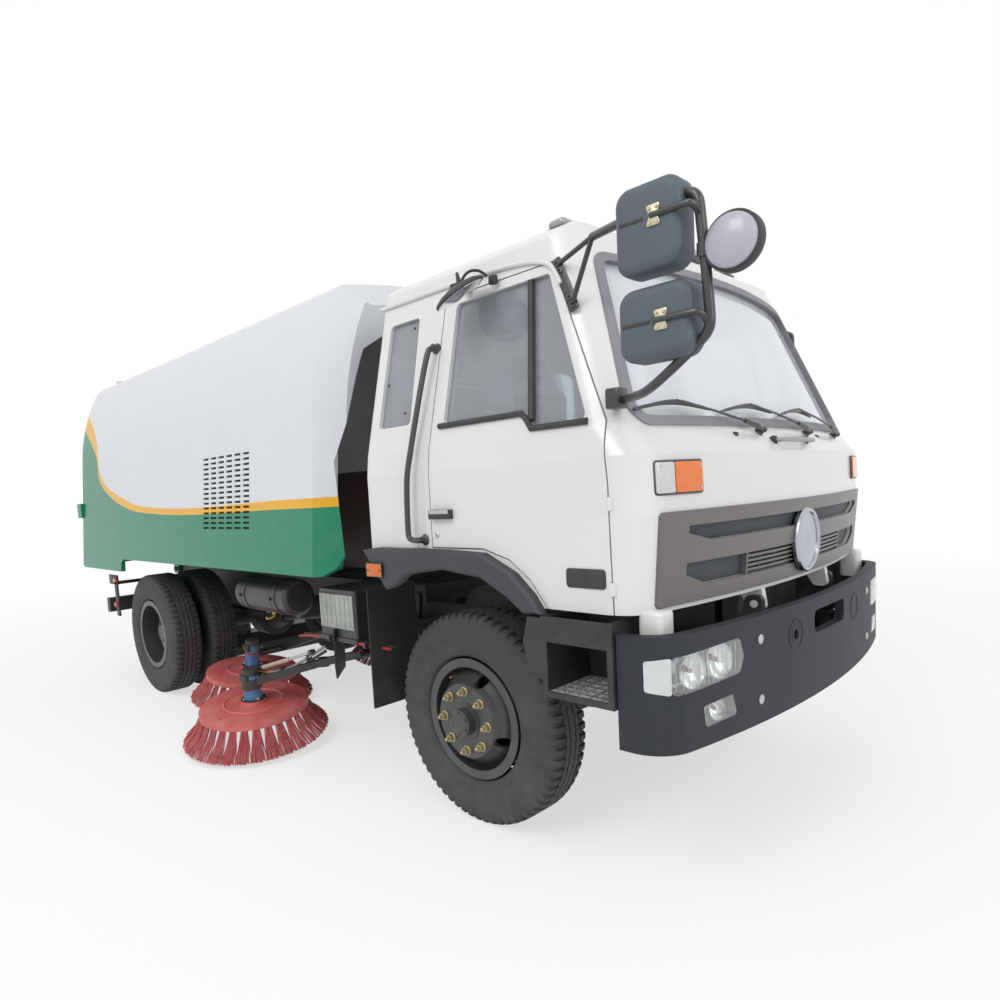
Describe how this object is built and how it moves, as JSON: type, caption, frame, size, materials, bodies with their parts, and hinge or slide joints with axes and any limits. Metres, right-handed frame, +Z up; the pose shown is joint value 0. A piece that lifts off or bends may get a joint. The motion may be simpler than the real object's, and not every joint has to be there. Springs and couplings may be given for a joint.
{
  "type": "street sweeper truck",
  "caption": "Two-axle cab-over street sweeper truck with a tipping refuse hopper, rear door, suction nozzle, spinning side brushes on lifting arms and a tilting cab",
  "frame": {"origin": "on the ground, at the bottom centre of the whole vehicle", "axes": "+X points to the front of the truck, +Y to its left, +Z up"},
  "size_m": [6.865, 3.3514, 2.901],
  "materials": {
    "cab_white": "cream white enamel",
    "glass": "clear safety glass",
    "seal_rubber": "matt rubber",
    "grille_grey": "grey metallic paint on plastic",
    "bumper_grey": "dark grey grained plastic",
    "lamp_clear": "clear lens",
    "lamp_amber": "amber lens",
    "flare_grey": "dark grey plastic",
    "black_rubber": "dusty rubber",
    "chassis_black": "satin black chassis paint",
    "step_metal": "galvanised steel in a black frame",
    "seat_cloth": "grey cloth",
    "dash_plastic": "dark moulded plastic",
    "arm_black": "black powder coat",
    "mirror_housing": "dark grey housing",
    "tyre": "dusty tyre rubber",
    "rim_grey": "grey wheel paint",
    "cast_metal": "cast and forged steel",
    "body_paint": "white over green with a yellow stripe",
    "gate_paint": "white over green with a yellow stripe",
    "machine_black": "black and dark red engine paint",
    "brush_red": "faded red plastic",
    "motor_blue": "blue motor on a black arm",
    "ram_chrome": "chromed rod",
    "fuel_metal": "black tank"
  },
  "bodies": {
    "root": {"frame_rails": "chassis_black", "leaf_springs": "cast_metal", "axles": "cast_metal", "engine_block": "cast_metal", "driveshaft": "cast_metal", "radiator": "chassis_black", "air_tank": "chassis_black", "battery_box": "chassis_black", "fuel_tank": "fuel_metal", "bumper": "bumper_grey", "headlamps": "lamp_clear", "mudflaps": "black_rubber", "steps": "step_metal", "subframe": "chassis_black", "aux_engine": "machine_black", "suction_nozzle": "chassis_black", "suction_hose": "black_rubber", "rear_underrun": "chassis_black"},
    "cab": {"cab_shell": "cab_white", "windscreen_seal": "seal_rubber", "windscreen": "glass", "cab_glass": "glass", "grille_panel": "grille_grey", "cab_lamps": "lamp_amber", "fender_flares": "flare_grey", "seats": "seat_cloth", "dashboard": "dash_plastic", "steering_wheel": "dash_plastic", "wipers": "arm_black", "mirror_arms": "arm_black", "mirror_heads": "mirror_housing", "grab_handles": "arm_black"},
    "right_door": {"door_right": "cab_white", "door_glass_right": "glass"},
    "left_door": {"door_left": "cab_white", "door_glass_left": "glass", "mirror_arm_left": "arm_black", "mirror_head_left": "mirror_housing"},
    "right_knuckle": {"knuckle_right": "cast_metal"},
    "left_knuckle": {"knuckle_left": "cast_metal"},
    "front_wheel_right": {"front_rim_right": "rim_grey", "front_tyre_right": "tyre"},
    "front_wheel_left": {"front_rim_left": "rim_grey", "front_tyre_left": "tyre"},
    "rear_wheels_right": {"rear_rims_right": "rim_grey", "rear_tyres_right": "tyre"},
    "rear_wheels_left": {"rear_rims_left": "rim_grey", "rear_tyres_left": "tyre"},
    "hopper": {"hopper_body": "body_paint"},
    "gate": {"tailgate": "gate_paint"},
    "ram_barrel": {"tip_cylinder": "chassis_black"},
    "ram_rod": {"tip_rod": "ram_chrome"},
    "right_outer_arm": {"outer_arm_right": "motor_blue"},
    "left_outer_arm": {"outer_arm_left": "motor_blue"},
    "inner_frame": {"inner_brush_frame": "motor_blue"},
    "right_outer_brush": {"outer_brush_right": "brush_red"},
    "left_outer_brush": {"outer_brush_left": "brush_red"},
    "right_inner_brush": {"inner_brush_right": "brush_red"},
    "left_inner_brush": {"inner_brush_left": "brush_red"}
  },
  "joints": [
    {"name": "cab_tilt", "type": "hinge", "parent": "root", "child": "cab", "pos_m": [3.0025, 0, 1.06], "axis": [0, 1, 0], "range_deg": [0, 40]},
    {"name": "right_door_swing", "type": "hinge", "parent": "cab", "child": "right_door", "pos_m": [2.8125, -1.19, 1.7], "axis": [0, 0, 1], "range_deg": [0, 65]},
    {"name": "left_door_swing", "type": "hinge", "parent": "cab", "child": "left_door", "pos_m": [2.8125, 1.19, 1.7], "axis": [0, 0, -1], "range_deg": [0, 65]},
    {"name": "steering_right", "type": "hinge", "parent": "root", "child": "right_knuckle", "pos_m": [1.9125, -0.8, 0.514], "axis": [0, 0, 1], "range_deg": [-36, 36]},
    {"name": "steering_left", "type": "hinge", "parent": "root", "child": "left_knuckle", "pos_m": [1.9125, 0.8, 0.514], "axis": [0, 0, 1], "range_deg": [-36, 36]},
    {"name": "front_right_spin", "type": "hinge", "parent": "right_knuckle", "child": "front_wheel_right", "pos_m": [1.9125, -0.949, 0.514], "axis": [0, 1, 0], "continuous": true},
    {"name": "front_left_spin", "type": "hinge", "parent": "left_knuckle", "child": "front_wheel_left", "pos_m": [1.9125, 0.949, 0.514], "axis": [0, 1, 0], "continuous": true},
    {"name": "rear_right_spin", "type": "hinge", "parent": "root", "child": "rear_wheels_right", "pos_m": [-1.8875, -0.8815, 0.514], "axis": [0, 1, 0], "continuous": true},
    {"name": "rear_left_spin", "type": "hinge", "parent": "root", "child": "rear_wheels_left", "pos_m": [-1.8875, 0.8815, 0.514], "axis": [0, 1, 0], "continuous": true},
    {"name": "body_tip", "type": "hinge", "parent": "root", "child": "hopper", "pos_m": [-2.9875, 0, 0.955], "axis": [0, -1, 0], "range_deg": [0, 45]},
    {"name": "gate_swing", "type": "hinge", "parent": "hopper", "child": "gate", "pos_m": [-3.2925, 0, 2.885], "axis": [0, 1, 0], "range_deg": [0, 80]},
    {"name": "barrel_swing", "type": "hinge", "parent": "root", "child": "ram_barrel", "pos_m": [-0.6275, 0, 0.85], "axis": [0, 1, 0], "range_deg": [0, 13]},
    {"name": "ram_stroke", "type": "slide", "parent": "ram_barrel", "child": "ram_rod", "axis": [-0.9935, 0, 0.1137], "range_m": [0, 0.37]},
    {"name": "right_arm_lift", "type": "hinge", "parent": "root", "child": "right_outer_arm", "pos_m": [0.7925, -0.82, 0.64], "axis": [0, 1, 0], "range_deg": [0, 9]},
    {"name": "left_arm_lift", "type": "hinge", "parent": "root", "child": "left_outer_arm", "pos_m": [0.7925, 0.82, 0.64], "axis": [0, 1, 0], "range_deg": [0, 9]},
    {"name": "inner_frame_lift", "type": "hinge", "parent": "root", "child": "inner_frame", "pos_m": [-0.0475, 0, 0.64], "axis": [0, 1, 0], "range_deg": [0, 6]},
    {"name": "right_outer_brush_spin", "type": "hinge", "parent": "right_outer_arm", "child": "right_outer_brush", "pos_m": [0.0125, -1.215, 0.275], "axis": [0.0862, -0.0862, 0.9925], "continuous": true},
    {"name": "left_outer_brush_spin", "type": "hinge", "parent": "left_outer_arm", "child": "left_outer_brush", "pos_m": [0.0125, 1.215, 0.275], "axis": [0.0862, 0.0862, 0.9925], "continuous": true},
    {"name": "right_inner_brush_spin", "type": "hinge", "parent": "inner_frame", "child": "right_inner_brush", "pos_m": [-0.8625, -0.77, 0.275], "axis": [0.1219, 0, 0.9925], "continuous": true},
    {"name": "left_inner_brush_spin", "type": "hinge", "parent": "inner_frame", "child": "left_inner_brush", "pos_m": [-0.8625, 0.77, 0.275], "axis": [0.1219, 0, 0.9925], "continuous": true}
  ],
  "couplings": [
    {"joint": "steering_left", "follows": "steering_right", "ratio": 1},
    {"joint": "barrel_swing", "follows": "body_tip", "ratio": 0.27547},
    {"joint": "ram_stroke", "follows": "body_tip", "m_per_rad": 0.46385}
  ]
}
